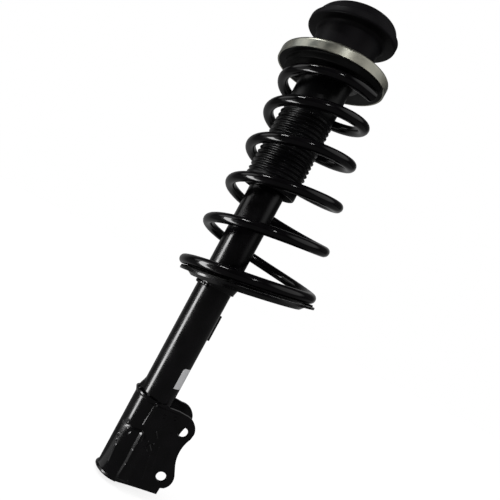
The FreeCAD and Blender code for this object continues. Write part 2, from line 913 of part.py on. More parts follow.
def make_spring():
    knots = spring_knots()
    wire_radius = size("wire_radius").value
    edges = []
    first, along = knots[0]
    edges.append(Part.LineSegment(first - along * wire_radius * 2, first).toShape())
    for (p, along_p), (q, along_q) in zip(knots, knots[1:]):
        for arc in biarc(p, along_p, q, along_q):
            edges.append(arc.toShape())
    last, along_last = knots[-1]
    edges.append(Part.LineSegment(last, last + along_last * wire_radius * 2).toShape())
    path = Part.Wire(Part.__sortEdges__(edges))
    begin = first - along * wire_radius * 2
    section = Part.Wire([Part.Circle(begin, along, wire_radius).toShape()])
    solid = path.makePipeShell([section], True, False)
    spring = document.addObject("Part::Feature", "coil_spring")
    spring.Shape = solid
    print("spring: length of wire %.0f mm, volume against section times length %.4f"
          % (path.Length, solid.Volume / (math.pi * wire_radius ** 2 * path.Length)))
    report_least_gap(path, wire_radius)
    finish_at_coil(spring, "coil_spring")


def report_least_gap(path, wire_radius):
    """Least gap of the wire to itself, measured between points more than half a turn apart."""
    count = 900
    points = path.discretize(Number=count)
    turns = size("lower_end_turn").value + size("upper_end_turn").value
    apart = int(count / turns * 0.6)
    least = None
    for index, point in enumerate(points):
        for other in points[index + apart:]:
            gap = point.distanceToPoint(other) - 2 * wire_radius
            if least is None or gap < least:
                least = gap
    print("spring: least gap to itself %.2f mm" % least)


# Dust boot

def make_dust_boot():
    """Moulded sleeve: a plain cuff, a row of ribs, a plain upper sleeve and a top flange."""
    foot = size("boot_foot").value
    crest = size("boot_crest").value
    valley = size("boot_valley").value
    sleeve = size("boot_sleeve_radius").value
    wall = size("boot_wall").value
    pitch = size("rib_pitch").value
    count = int(size("rib_count").value)
    flange = size("boot_flange_radius").value
    flange_foot = upper_seat_foot.value - size("boot_flange").value
    levels = [(foot, sleeve - 1.0), (foot + size("boot_cuff").value, sleeve - 1.0)]
    height = levels[-1][0]
    for index in range(count):
        levels.append((height + pitch * 0.20, crest - 0.2))
        levels.append((height + pitch * 0.45, crest))
        levels.append((height + pitch * 0.75, valley))
        levels.append((height + pitch, valley + 0.2))
        height = height + pitch
    levels.append((height + 3.0, sleeve))
    levels.append((flange_foot - 6.0, sleeve))
    levels.append((flange_foot, sleeve + 3.0))
    outer = ruled_stack(levels)
    bore = [(level, radius - wall) for level, radius in levels]
    bore[0] = (foot - 1.0, bore[0][1])
    bore.append((upper_seat_foot.value + 1.0, bore[-1][1]))
    inner = ruled_stack(bore)
    disc = Part.makeCylinder(flange, size("boot_flange").value, Vector(0, 0, flange_foot))
    boot = document.addObject("Part::Feature", "dust_boot")
    boot.Shape = outer.fuse(disc).cut(inner).removeSplitter()
    finish(boot, "dust_boot")


def ruled_stack(levels):
    """Ruled loft through level circles, all with their seam on +X."""
    wires = []
    for level, radius in levels:
        circle = Part.Circle(Vector(0, 0, level), Vector(0, 0, 1), radius)
        wires.append(Part.Wire([circle.toShape()]))
    return Part.makeLoft(wires, True, True)


# Upper spring seat, its rubber and the bump stop

def make_upper_seat():
    """Pressed zinc-plated seat: a flat top, a skirt round its rim and a short hub."""
    plate = size("upper_seat_plate")
    outer = size("upper_seat_radius")
    rounding = plate * 1.7
    inner_rounding = rounding - plate
    bore = size("upper_seat_bore")
    hub_foot = upper_seat_top - plate * 2.5
    turned("upper_spring_seat", [
        (bore, hub_foot),
        (bore + plate, hub_foot),
        (bore + plate, upper_seat_top - plate),
        (outer - plate - inner_rounding, upper_seat_top - plate),
        (outer - plate, upper_seat_top - plate - inner_rounding, -inner_rounding),
        (outer - plate, upper_seat_foot),
        (outer, upper_seat_foot),
        (outer, upper_seat_top - rounding),
        (outer - rounding, upper_seat_top, rounding),
        (bore, upper_seat_top),
    ])
    rim = outer - plate - weld_gap
    corner = inner_rounding
    pad_top = upper_seat_top - plate
    pad = turned_body("upper_pad", [
        (size("upper_pad_bore"), upper_seat_foot),
        (rim, upper_seat_foot),
        (rim, pad_top - corner),
        (rim - corner, pad_top),
        (size("upper_pad_bore"), pad_top),
    ])
    bed = turned_body("upper_pad_bed", [
        (size("upper_coil_radius") - size("bed_half_width"), bed_foot),
        (size("upper_coil_radius") + size("bed_half_width"), bed_foot),
        (size("upper_coil_radius") + size("bed_half_width"), pad_top - plate),
        (size("upper_coil_radius") - size("bed_half_width"), pad_top - plate),
    ])
    bed.Group[-1].setExpression("Angle", size("bed_sweep").text)
    turn_about(bed, Vector(0, 0, 1), size("bed_start"))
    bed.setExpression("Placement.Base.x", size("upper_coil_offset").text)
    boot_way = size("boot_flange_radius") + weld_gap * 6
    allowed = turned_body("upper_pad_bed_limits", [
        (boot_way, bed_foot - plate),
        (rim, bed_foot - plate),
        (rim, pad_top - plate),
        (boot_way, pad_top - plate),
    ])
    bedded = fuse("upper_insulator", [pad, common("upper_pad_bed_kept", bed, allowed)])
    finish_at_coil(bedded, "upper_insulator")


def make_bump_stop():
    """Rubber bump stop with two waists, held in a pressed cup under the mount's plate."""
    outer = size("bump_radius")
    head = plate_foot - size("bump_cup_wall")
    foot = head - size("bump_length")
    waist = outer * 0.84
    third = size("bump_length") / 3
    hole = rod_radius + 0.6
    turned("bump_stop", [
        (hole, foot),
        (outer * 0.78, foot),
        (outer * 0.88, foot + 2.0),
        (outer * 0.92, foot + third * 0.65),
        (waist * 0.90, foot + third),
        (outer, foot + third * 1.35),
        (outer, foot + third * 1.65),
        (waist, foot + third * 2),
        (outer, foot + third * 2.35),
        (outer, head),
        (hole, head),
    ])
    cup = outer + weld_gap
    cup_wall = size("bump_cup_wall")
    cup_foot = plate_foot - size("bump_cup_height")
    turned("bump_stop_cup", [
        (cup, cup_foot),
        (cup + cup_wall, cup_foot),
        (cup + cup_wall, plate_foot),
        (rod_radius + 0.6, plate_foot),
        (rod_radius + 0.6, plate_foot - cup_wall),
        (cup, plate_foot - cup_wall),
    ])


# Steering bearing

def make_bearing():
    inner = size("race_inner")
    outer = size("race_outer")
    circle = size("ball_circle")
    dip = size("race_dip")
    half_groove = ball_radius * 0.9
    groove_radius = (half_groove * half_groove + dip * dip) / (dip * 2)
    lower_top = upper_seat_top + race_thickness
    turned("bearing_lower_race", [
        (inner, upper_seat_top),
        (outer, upper_seat_top),
        (outer, lower_top),
        (circle + half_groove, lower_top),
        (circle - half_groove, lower_top, -groove_radius),
        (inner, lower_top),
    ])
    upper_top = upper_race_foot + race_thickness
    turned("bearing_upper_race", [
        (inner, upper_race_foot),
        (circle - half_groove, upper_race_foot),
        (circle + half_groove, upper_race_foot, -groove_radius),
        (outer, upper_race_foot),
        (outer, upper_top),
        (inner, upper_top),
    ])
    cage_half = ball_radius * 0.45
    count = int(size("ball_count").value)
    cage_body = turned_body("cage_ring", [
        (inner + 0.4, ball_height - cage_half),
        (outer - 0.4, ball_height - cage_half),
        (outer - 0.4, ball_height + cage_half),
        (inner + 0.4, ball_height + cage_half),
    ])
    pockets = ring_of("cage_pocket", count, circle, ball_radius + 0.15)
    finish(cut("bearing_cage", cage_body, fuse("cage_pockets", pockets)), "bearing_cage")
    balls = document.addObject("Part::Compound", "bearing_balls")
    balls.Links = ring_of("bearing_ball", count, circle, ball_radius)
    finish(balls, "bearing_balls")


def ring_of(name, count, circle, radius):
    """Spheres spaced evenly round the ball circle."""
    spheres = []
    for index in range(count):
        angle = 2 * math.pi * index / count
        sphere = document.addObject("Part::Sphere", "%s_%d" % (name, index))
        set_sizes(sphere, Radius=radius, Placement__Base__x=circle * math.cos(angle),
                  Placement__Base__y=circle * math.sin(angle), Placement__Base__z=ball_height)
        spheres.append(sphere)
    return spheres


# Top mount

def make_top_mount():
    """Domed rubber mount over a steel plate and sleeve."""
    neck = size("neck_radius")
    neck_top = size("neck_top_radius")
    widest = size("mount_radius")
    rim_top = mount_flange + size("mount_rim_height")
    rounding = size("mount_rim_rounding")
    dome = size("mount_dome_radius")
    shoulder = rim_top + rounding / 2
    dome_height = crown_top - shoulder
    sleeve = size("sleeve_radius")
    crown = size("crown_radius")
    recess = size("washer_radius") + size("sleeve_head") * 0.6
    pocket = size("race_outer") + turn_gap * 2
    skirt_foot = upper_seat_top + turn_gap * 4
    ring("top_mount_plate", thread_radius + clearance, size("race_outer"), plate_foot, plate_top)
    turned("top_mount_rubber", [
        (pocket, skirt_foot),
        (neck, skirt_foot),
        (neck, skirt_foot + rounding * 3),
        (neck_top, mount_flange - rounding, -(size("mount_neck_height") * 4)),
        (neck_top + rounding, mount_flange, -(rounding * 1.5)),
        (widest - rounding, mount_flange),
        (widest, mount_flange + rounding, rounding),
        (widest, rim_top - rounding),
        (widest - rounding, rim_top, rounding),
        (dome + rounding / 2, rim_top),
        (dome, shoulder),
        (dome - dome_height * 0.23, shoulder + dome_height * 0.46, dome_height * 0.65),
        (crown, crown_top, dome_height * 5.6),
        (recess, crown_top),
        (recess, recess_floor),
        (sleeve + weld_gap, recess_floor),
        (sleeve + weld_gap, plate_top),
        (pocket, plate_top),
    ])
    head = size("washer_radius") - size("sleeve_head") * 0.4
    turned("top_mount_sleeve", [
        (thread_radius + clearance, plate_top),
        (sleeve, plate_top),
        (sleeve, recess_floor),
        (head, recess_floor),
        (head, mount_top),
        (thread_radius + clearance, mount_top),
    ])
    nut_foot = mount_top + size("washer_thickness")
    ring("rod_washer", thread_radius + clearance, size("washer_radius"), mount_top, nut_foot)
    hexagon_nut("rod_nut", size("nut_flats"), thread_radius + clearance, nut_foot,
                size("top_nut_height"))


make_damper_tube()
make_base_cap()
make_gland_cap()
make_cylinder_and_valve()
make_guide_and_seal()
make_rod()
make_piston()
make_knuckle_bracket()
make_lower_seat()
make_hose_bracket()
make_spring()
make_dust_boot()
make_upper_seat()
make_bump_stop()
make_bearing()
make_top_mount()
document.recompute()

for item in document.Objects:
    if "Invalid" in item.State or "Error" in item.State:
        raise RuntimeError("%s did not build: %s" % (item.Label, item.State))
for item in parts:
    if item.Shape.isNull() or not item.Shape.isValid():
        raise RuntimeError("%s has no valid shape" % item.Label)

os.makedirs("parts", exist_ok=True)
for item in parts:
    item.Shape.exportStep(os.path.join("parts", item.Label + ".step"))
print("%d sub-parts written" % len(parts))
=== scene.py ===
import json
import math

import bmesh
import bpy
from mathutils import Matrix, Vector


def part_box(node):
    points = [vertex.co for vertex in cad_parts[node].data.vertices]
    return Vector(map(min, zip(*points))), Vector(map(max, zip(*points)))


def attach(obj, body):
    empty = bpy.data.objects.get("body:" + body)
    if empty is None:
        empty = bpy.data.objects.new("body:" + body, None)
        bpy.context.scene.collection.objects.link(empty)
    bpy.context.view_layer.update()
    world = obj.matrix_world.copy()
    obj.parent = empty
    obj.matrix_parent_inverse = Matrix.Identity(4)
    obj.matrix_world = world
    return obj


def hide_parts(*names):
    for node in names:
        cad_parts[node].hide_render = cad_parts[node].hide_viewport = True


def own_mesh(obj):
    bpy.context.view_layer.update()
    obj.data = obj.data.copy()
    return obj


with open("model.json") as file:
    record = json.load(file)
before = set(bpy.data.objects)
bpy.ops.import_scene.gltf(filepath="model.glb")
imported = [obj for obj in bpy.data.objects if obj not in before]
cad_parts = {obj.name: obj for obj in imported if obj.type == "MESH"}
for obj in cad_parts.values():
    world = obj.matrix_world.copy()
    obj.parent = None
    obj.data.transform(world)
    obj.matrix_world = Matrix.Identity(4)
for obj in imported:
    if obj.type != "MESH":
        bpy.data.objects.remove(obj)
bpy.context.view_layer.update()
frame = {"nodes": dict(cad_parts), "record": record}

NODES = frame["nodes"]
AXIS_X = (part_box("damper_tube")[0][0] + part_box("damper_tube")[1][0]) / 2
FOOT_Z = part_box("tube_base_cap")[0][2]


# Materials

# Most of a noise lies between these two values
NOISE_LOW = 0.35
NOISE_HIGH = 0.65


def new_material(name):
    material = bpy.data.materials.new(name)
    material.use_nodes = True
    tree = material.node_tree
    return material, tree, tree.nodes["Principled BSDF"]


def noise(tree, scale, detail, roughness=0.5):
    """Noise in object coordinates, so that it stays on the piece."""
    coordinates = tree.nodes.new("ShaderNodeTexCoord")
    node = tree.nodes.new("ShaderNodeTexNoise")
    node.inputs["Scale"].default_value = scale
    node.inputs["Detail"].default_value = detail
    node.inputs["Roughness"].default_value = roughness
    tree.links.new(coordinates.outputs["Object"], node.inputs["Vector"])
    return node.outputs["Fac"]


def ramp(tree, source, low, high):
    """Number that goes from low to high with a noise."""
    node = tree.nodes.new("ShaderNodeMapRange")
    node.inputs["From Min"].default_value = NOISE_LOW
    node.inputs["From Max"].default_value = NOISE_HIGH
    node.inputs["To Min"].default_value = low
    node.inputs["To Max"].default_value = high
    tree.links.new(source, node.inputs["Value"])
    return node.outputs["Result"]


def blend_colour(tree, source, dark, light):
    """Colour that goes from dark to light with a noise."""
    node = tree.nodes.new("ShaderNodeValToRGB")
    node.color_ramp.elements[0].position = NOISE_LOW
    node.color_ramp.elements[0].color = (*dark, 1)
    node.color_ramp.elements[1].position = NOISE_HIGH
    node.color_ramp.elements[1].color = (*light, 1)
    tree.links.new(source, node.inputs["Fac"])
    return node.outputs["Color"]


def bump(tree, shader, source, distance):
    node = tree.nodes.new("ShaderNodeBump")
    node.inputs["Distance"].default_value = distance
    node.inputs["Strength"].default_value = 1.0
    tree.links.new(source, node.inputs["Height"])
    tree.links.new(node.outputs["Normal"], shader.inputs["Normal"])


def cloudy_finish(name, dark, light, roughness, clouds, grain, depth):
    """Finish whose colour and roughness drift in clouds over a fine grain. Clouds and grain
    are what noise() takes, and depth is that of the grain."""
    material, tree, shader = new_material(name)
    drift = noise(tree, *clouds)
    tree.links.new(blend_colour(tree, drift, dark, light), shader.inputs["Base Color"])
    tree.links.new(ramp(tree, drift, *roughness), shader.inputs["Roughness"])
    bump(tree, shader, noise(tree, *grain), depth)
    return material, shader


def black_paint(name, roughness, specular):
    """Baked black paint with a slight orange peel and a cloudy gloss."""
    material, shader = cloudy_finish(name, (0.0012, 0.0010, 0.0014), (0.0036, 0.0029, 0.0040),
                                     roughness, (45.0, 4.0), (380.0, 2.0), 0.000006)
    shader.inputs["Specular IOR Level"].default_value = specular
    return material


def moulded(name, dark, light, roughness, grain_scale, depth, specular=0.3):
    """Rubber, foam, plastic or paper with a fine matt grain."""
    material, shader = cloudy_finish(name, dark, light, roughness, (30.0, 5.0),
                                     (grain_scale, 3.0), depth)
    shader.inputs["Specular IOR Level"].default_value = specular
    return material


def plated_metal(name, dark, light, roughness, scale):
    """Plated or ground steel with a cloudy passivated finish."""
    material, shader = cloudy_finish(name, dark, light, roughness, (scale, 6.0, 0.6),
                                     (scale * 12, 2.0), 0.00004)
    shader.inputs["Metallic"].default_value = 1.0
    return material


GLOSS_BLACK = black_paint("gloss black paint", (0.15, 0.24), 0.43)
SPRING_BLACK = black_paint("spring paint", (0.08, 0.15), 0.33)
BOOT_RUBBER = moulded("boot rubber", (0.003, 0.003, 0.0035), (0.006, 0.006, 0.007),
                      (0.24, 0.34), 900.0, 0.00002, 0.25)
MOUNT_RUBBER = moulded("mount rubber", (0.004, 0.0035, 0.0045), (0.008, 0.007, 0.009),
                       (0.42, 0.56), 600.0, 0.00005, 0.12)
SOFT_RUBBER = moulded("insulator rubber", (0.003, 0.003, 0.003), (0.006, 0.006, 0.006),
                      (0.42, 0.56), 800.0, 0.00004, 0.08)
FOAM = moulded("bump stop foam", (0.55, 0.47, 0.25), (0.68, 0.60, 0.36),
               (0.7, 0.9), 500.0, 0.00010)
ZINC = plated_metal("zinc plating", (0.29, 0.30, 0.265), (0.60, 0.585, 0.49),
                    (0.30, 0.46), 40.0)
STEEL = plated_metal("bright steel", (0.50, 0.50, 0.50), (0.66, 0.66, 0.66),
                     (0.25, 0.38), 90.0)
SINTERED = plated_metal("sintered steel", (0.26, 0.26, 0.27), (0.36, 0.36, 0.37),
                        (0.50, 0.65), 120.0)
CHROME = plated_metal("chromed rod", (0.72, 0.72, 0.73), (0.80, 0.80, 0.81),
                      (0.08, 0.14), 40.0)
PLASTIC = moulded("black plastic", (0.008, 0.008, 0.008), (0.014, 0.014, 0.014),
                  (0.35, 0.5), 900.0, 0.00003)
PAPER = moulded("label paper", (0.86, 0.86, 0.88), (0.92, 0.92, 0.94),
                (0.35, 0.5), 300.0, 0.00001)

# Finish of each material slot in the record
FINISHES = {
    "gloss_black_paint": GLOSS_BLACK,
    "spring_black": SPRING_BLACK,
    "boot_rubber": BOOT_RUBBER,
    "mount_rubber": MOUNT_RUBBER,
    "rubber_black": SOFT_RUBBER,
    "foam_rubber": FOAM,
    "zinc_plate": ZINC,
    "bright_steel": STEEL,
    "sintered_steel": SINTERED,
    "chromed_rod": CHROME,
    "black_plastic": PLASTIC,
}

for entry in frame["record"]["subparts"]:
    node = NODES[entry["node"]]
    node.data.materials.clear()
    node.data.materials.append(FINISHES[entry["material_slot"]])


# Sheared edges of the pressed steel are rounded under the paint, by widths in metres

ROUNDED_EDGES = {
    "knuckle_bracket": 0.0005,
    "lower_spring_seat": 0.0006,
    "upper_spring_seat": 0.0006,
    "hose_bracket": 0.0006,
    "tube_base_cap": 0.0006,
    "top_mount_plate": 0.0005,
    "rod_washer": 0.0004,
    "rod_nut": 0.0005,
}


def round_edges(piece, name, width, sharpness):
    """Rounds the edges that turn by more than a number of degrees."""
    bevel = piece.modifiers.new(name, "BEVEL")
    bevel.width = width
    bevel.segments = 3
    bevel.limit_method = "ANGLE"
    bevel.angle_limit = math.radians(sharpness)
    return bevel


for name, width in ROUNDED_EDGES.items():
    round_edges(NODES[name], "rounded edges", width, 50).harden_normals = True


# Mesh helpers: profiles are in millimetres from the strut's axis and the foot of its
# tube, as on a drawing, and place() turns them into the frame's metres

LOWER_HOLE_HEIGHT = 43.2
COIL_BEARING = math.radians(-9.0)


def place(x, y, height):
    return Vector((AXIS_X + x / 1000, y / 1000, (height - LOWER_HOLE_HEIGHT) / 1000))


def round_axis(radius, angle, height):
    return place(radius * math.cos(angle), radius * math.sin(angle), height)


def drawn_height(level):
    """Height on the drawing of a level in the frame."""
    return level * 1000 + LOWER_HOLE_HEIGHT


def at_coil(x, y, height):
    """Point drawn with the coil's centre line on +X, turned to the coil's bearing."""
    turned = Matrix.Rotation(COIL_BEARING, 3, "Z") @ Vector((x, y, height))
    return turned.x, turned.y, turned.z


def clamped(share):
    return min(max(share, 0.0), 1.0)


def smooth(share):
    """Share from zero to one that starts and ends gently."""
    return share * share * (3 - 2 * share)


def step_up(value, start, stop):
    """Zero before the start, one after the stop and smooth between them."""
    return smooth(clamped((value - start) / (stop - start)))


def hill(distance, width):
    """One in the middle of a feature, fading to zero at its width."""
    share = min(abs(distance) / width, 1.0)
    return (1 - share * share) ** 2


def new_object(name, data):
    made = bpy.data.objects.new(name, data)
    bpy.context.scene.collection.objects.link(made)
    return made


def new_piece(name, mesh, material, smooth_faces=True):
    for polygon in mesh.polygons:
        polygon.use_smooth = smooth_faces
    mesh.materials.append(material)
    return new_object(name, mesh)


def rounded(profile, steps=5):
    """Closed profile of (radius, height, rounding) with each corner as a curve."""
    points = []
    count = len(profile)
    for index, (radius, height, rounding) in enumerate(profile):
        corner = Vector((radius, height))
        before = Vector(profile[index - 1][:2]) - corner
        after = Vector(profile[(index + 1) % count][:2]) - corner
        reach = min(rounding, before.length * 0.49, after.length * 0.49)
        if reach < 0.01:
            points.append(corner)
            continue
        start = corner + before.normalized() * reach
        stop = corner + after.normalized() * reach
        for step in range(steps + 1):
            t = step / steps
            points.append(start * (1 - t) ** 2 + corner * 2 * t * (1 - t) + stop * t ** 2)
    return points


def bridge(form, here, there):
    """Faces between two closed rings of as many points."""
    for side in range(len(here)):
        after = (side + 1) % len(here)
        form.faces.new((here[side], there[side], there[after], here[after]))


def finished(name, form):
    """Mesh of a closed form, with its faces outwards."""
    bmesh.ops.recalc_face_normals(form, faces=form.faces)
    mesh = bpy.data.meshes.new(name)
    form.to_mesh(mesh)
    form.free()
    return mesh


def turned_mesh(name, points, segments, reshape=None):
    """Closed profile turned round the strut's axis. reshape(radius, height, angle) moves its
    points on the way round."""
    form = bmesh.new()
    rings = []
    for index in range(segments):
        angle = 2 * math.pi * index / segments
        ring = []
        for radius, height in points:
            if reshape:
                radius, height = reshape(radius, height, angle)
            ring.append(form.verts.new(round_axis(radius, angle, height)))
        rings.append(ring)
    for index in range(segments):
        bridge(form, rings[index], rings[(index + 1) % segments])
    return finished(name, form)


def arc_mesh(name, points, start, stop, steps, spot):
    """Closed profile turned through part of a circle, in degrees, with flat ends. spot()
    gives the place of each of its points."""
    form = bmesh.new()
    rings = []
    for step in range(steps + 1):
        angle = math.radians(start + (stop - start) * step / steps)
        rings.append([
            form.verts.new(spot(Vector((radius * math.cos(angle), radius * math.sin(angle), height))))
            for radius, height in points])
    for here, there in zip(rings, rings[1:]):
        bridge(form, here, there)
    form.faces.new(rings[0])
    form.faces.new(rings[-1])
    return finished(name, form)


def swept_mesh(name, path, radius, sides=24, ripple=0.0):
    """Round rod along a path of points; a ripple swells it at every third point."""
    form = bmesh.new()
    rings = []
    across = (path[1] - path[0]).normalized().orthogonal().normalized()
    last = len(path) - 1
    for index, point in enumerate(path):
        along = (path[min(index + 1, last)] - path[max(index - 1, 0)]).normalized()
        across = (across - along * across.dot(along)).normalized()
        other = along.cross(across)
        swell = 1 + ripple * math.cos(2 * math.pi * index / 3)
        ring = []
        for side in range(sides):
            angle = 2 * math.pi * side / sides
            spot = point + (across * math.cos(angle) + other * math.sin(angle)) * radius * swell
            ring.append(form.verts.new(place(*spot)))
        rings.append(ring)
    for here, there in zip(rings, rings[1:]):
        for side in range(sides):
            after = (side + 1) % sides
            form.faces.new((here[side], here[after], there[after], there[side]))
    form.faces.new(rings[0])
    form.faces.new(rings[-1])
    return finished(name, form)


def slab_mesh(name, count, front, back_depth):
    """Closed slab of count by count points. front(column, share) gives its front, with a
    share of 0 at its foot and 1 at its head, and front(column, share, back_depth) the foot
    and head of its plain back."""
    form = bmesh.new()
    rows = [[front(column, row / (count - 1)) for column in range(count)] for row in range(count)]
    foot, head = [[front(column, share, back_depth) for column in range(count)]
                  for share in (0, 1)]
    lines = [[form.verts.new(point) for point in row] for row in (foot, *rows, head)]
    for here, there in zip(lines, lines[1:] + lines[:1]):
        for index in range(count - 1):
            form.faces.new((here[index], here[index + 1], there[index + 1], there[index]))
    for side in (0, -1):
        form.faces.new([line[side] for line in lines])
    return finished(name, form)


# Coil spring: its lower end lies on the tilted seat, its turns rise and narrow, and its
# upper end runs up against the bed of the upper seat's rubber

WIRE_RADIUS = 6.5
WIRE_GAP = 0.25
COIL_RADIUS_LOW = 81.5
COIL_RADIUS_HIGH = 56.5
COIL_OFFSET_LOW = 30.5
COIL_OFFSET_HIGH = 7.8
TAPER_TURNS = 4.77
TAPER_POWER = 1.6
HEIGHT_TURNS = 5.183
SEAT_PLANE_HEIGHT = 310.0
SEAT_TILT = math.radians(10.5)
SEAT_KNEE = 1.5
UPPER_SEAT_FOOT = 575.0
BED_DEPTH = 7.5
BED_FOOT = UPPER_SEAT_FOOT - BED_DEPTH
BED_KNEE = 8.0
COIL_APPROACH = 2.5
COIL_TOP = BED_FOOT - WIRE_RADIUS - WIRE_GAP + COIL_APPROACH
COIL_START = SEAT_PLANE_HEIGHT - 15.5
LOWER_PITCH = 61.7
COIL_LEAN = 0.01
LOWER_END_TURN = -0.31
UPPER_END_TURN = 5.35
STEPS_PER_TURN = 72


def eased(height, knee):
    """The height where it is well above zero, fading to zero below, rounded over the knee."""
    return knee * math.log1p(math.exp(-abs(height) / knee)) + max(height, 0.0)


def spring_point(turn):
    """Centre of the wire, turns after the point above its lower end that lies on -X."""
    share = clamped(turn / TAPER_TURNS)
    fading = (1 - share) ** TAPER_POWER
    radius = COIL_RADIUS_HIGH + (COIL_RADIUS_LOW - COIL_RADIUS_HIGH) * fading
    offset = COIL_OFFSET_LOW + (COIL_OFFSET_HIGH - COIL_OFFSET_LOW) * share
    angle = math.pi + 2 * math.pi * turn
    x = offset + radius * math.cos(angle)
    y = radius * math.sin(angle)
    pitch_change = 2 * ((COIL_TOP - COIL_START) / HEIGHT_TURNS - LOWER_PITCH)
    free = COIL_START + LOWER_PITCH * turn + pitch_change * turn ** 2 / (2 * HEIGHT_TURNS)
    free += COIL_LEAN * (1 - share) * (x - offset)
    low = SEAT_PLANE_HEIGHT + math.tan(SEAT_TILT) * (x - COIL_OFFSET_LOW)
    height = low + eased(free - low, SEAT_KNEE)
    height = COIL_TOP - eased(COIL_TOP - height, BED_KNEE)
    return Vector(at_coil(x, y, height))


def make_coil_spring():
    count = round((UPPER_END_TURN - LOWER_END_TURN) * STEPS_PER_TURN)
    step = (UPPER_END_TURN - LOWER_END_TURN) / count
    path = [spring_point(LOWER_END_TURN + step * index) for index in range(count + 1)]
    end_run = WIRE_RADIUS * 2
    path.insert(0, path[0] + (path[0] - path[1]).normalized() * end_run)
    path.append(path[-1] + (path[-1] - path[-2]).normalized() * end_run)
    mesh = swept_mesh("coil_spring_wire", path, WIRE_RADIUS)
    spring = new_piece("coil_spring_wire", mesh, SPRING_BLACK)
    round_edges(spring, "end edges", 0.0008, 60)
    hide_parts("coil_spring")
    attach(spring, "strut_body")
    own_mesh(spring)


# Dust boot and the rubbers of the two spring seats

def make_dust_boot():
    """Plain cuff, soft ribs, plain sleeve and a flange under the upper seat's rubber."""
    foot = 418.5
    cuff = 34.2
    cuff_head = 433.2
    sleeve = 31.6
    low_crest = 34.8
    high_crest = 33.0
    depth = 2.7
    sharpness = 0.8
    pitch = 5.68
    count = 15
    steps = 10
    wall = 1.6
    flange_radius = 40.0
    flange_foot = UPPER_SEAT_FOOT - 2.5
    flange_head = UPPER_SEAT_FOOT - 0.3
    head = cuff_head + pitch * count
    outer = [(cuff - 1.0, foot), (cuff - 0.2, foot + 0.6), (cuff + 0.3, foot + 3.0),
             (cuff, cuff_head - 2.5), (cuff - 0.6, cuff_head - 1.2)]
    for index in range(count * steps + 1):
        crest = low_crest + (high_crest - low_crest) * index / (count * steps)
        swing = math.cos(2 * math.pi * index / steps)
        outer.append((crest - depth * ((1 + swing) / 2) ** sharpness,
                      cuff_head + pitch * index / steps))
    outer += [(sleeve - 0.3, head + 2.0), (sleeve, head + 4.0), (sleeve, flange_foot - 6.0),
              (sleeve + 0.8, flange_foot - 2.5), (sleeve + 3.0, flange_foot),
              (flange_radius - 0.6, flange_foot), (flange_radius, flange_foot + 0.6),
              (flange_radius, flange_head)]
    inner = [(sleeve - wall, flange_head), (sleeve - wall, head),
             (high_crest - depth - wall, head - 1.0), (low_crest - depth - wall, cuff_head),
             (cuff - wall, cuff_head - 3.0), (cuff - wall - 0.4, foot)]
    mesh = turned_mesh("dust_boot_ribbed", outer + inner, 144)
    boot = new_piece("dust_boot_ribbed", mesh, BOOT_RUBBER)
    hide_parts("dust_boot")
    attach(boot, "upper_seat")


def make_upper_insulator():
    """Rubber ring under the upper seat, deeper round its rim where the end coil bears on it."""
    head = drawn_height(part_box("upper_insulator")[1][2])
    rim = 65.95
    rim_bevel = 1.4
    bore = 31.0
    boot_way = 40.3
    spacing = 0.52
    bed_half_width = 7.0
    bed_side = 1.5
    bed_start = 150.0
    bed_half_sweep = 87.5
    bed_run_out = 12
    bed_middle = math.radians(bed_start + bed_half_sweep)
    spokes = [bore, 35.0, boot_way - 0.05] + [boot_way + spacing * index for index in range(49)]
    profile = [Vector((radius, UPPER_SEAT_FOOT)) for radius in spokes]
    profile += [Vector((rim, UPPER_SEAT_FOOT)), Vector((rim, head - rim_bevel)),
                Vector((rim - rim_bevel, head)), Vector((bore, head))]
    centre = Vector(at_coil(COIL_OFFSET_HIGH, 0, 0))

    def with_bed(radius, height, angle):
        if height > UPPER_SEAT_FOOT + 0.1 or radius < boot_way:
            return radius, height
        spot = Vector((radius * math.cos(angle), radius * math.sin(angle), 0)) - centre
        beside = abs(spot.length - COIL_RADIUS_HIGH) - bed_half_width
        turn = math.degrees(math.atan2(spot.y, spot.x) - COIL_BEARING - bed_middle) % 360
        beyond = (min(turn, 360 - turn) - bed_half_sweep) / bed_run_out
        share = clamped(1 - beside / bed_side) * clamped(1 - beyond)
        return radius, UPPER_SEAT_FOOT - BED_DEPTH * share * share * (3 - 2 * share)

    mesh = turned_mesh("upper_insulator_pad", profile, 180, with_bed)
    pad = new_piece("upper_insulator_pad", mesh, SOFT_RUBBER)
    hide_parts("upper_insulator")
    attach(pad, "upper_seat")


def make_lower_insulator():
    """Rubber strip under the first turn, with a lip at its inner edge, ending short of a ring."""
    thickness = 2.0
    lip = 4.0
    track = -(WIRE_RADIUS + WIRE_GAP + thickness)
    inner = COIL_RADIUS_LOW - 6.5
    outer = COIL_RADIUS_LOW + 3.0
    sweep = 250
    profile = rounded([(inner, track, 0.3), (outer, track, 0.3), (outer, track + thickness, 0.7),
                       (inner + 2.0, track + thickness, 1.0), (inner + 0.8, track + lip, 0.5),
                       (inner, track + lip, 0.5)], 4)
    tip = Matrix.Rotation(-SEAT_TILT, 3, "Y")

    def on_seat(corner):
        spot = tip @ corner
        return place(*at_coil(spot.x + COIL_OFFSET_LOW, spot.y, spot.z + SEAT_PLANE_HEIGHT))

    mesh = arc_mesh("lower_insulator_strip", profile, 0, sweep, 120, on_seat)
    strip = new_piece("lower_insulator_strip", mesh, SOFT_RUBBER)
    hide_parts("lower_insulator")
    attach(strip, "strut_body")


# Bump stop and the domed rubber of the top mount

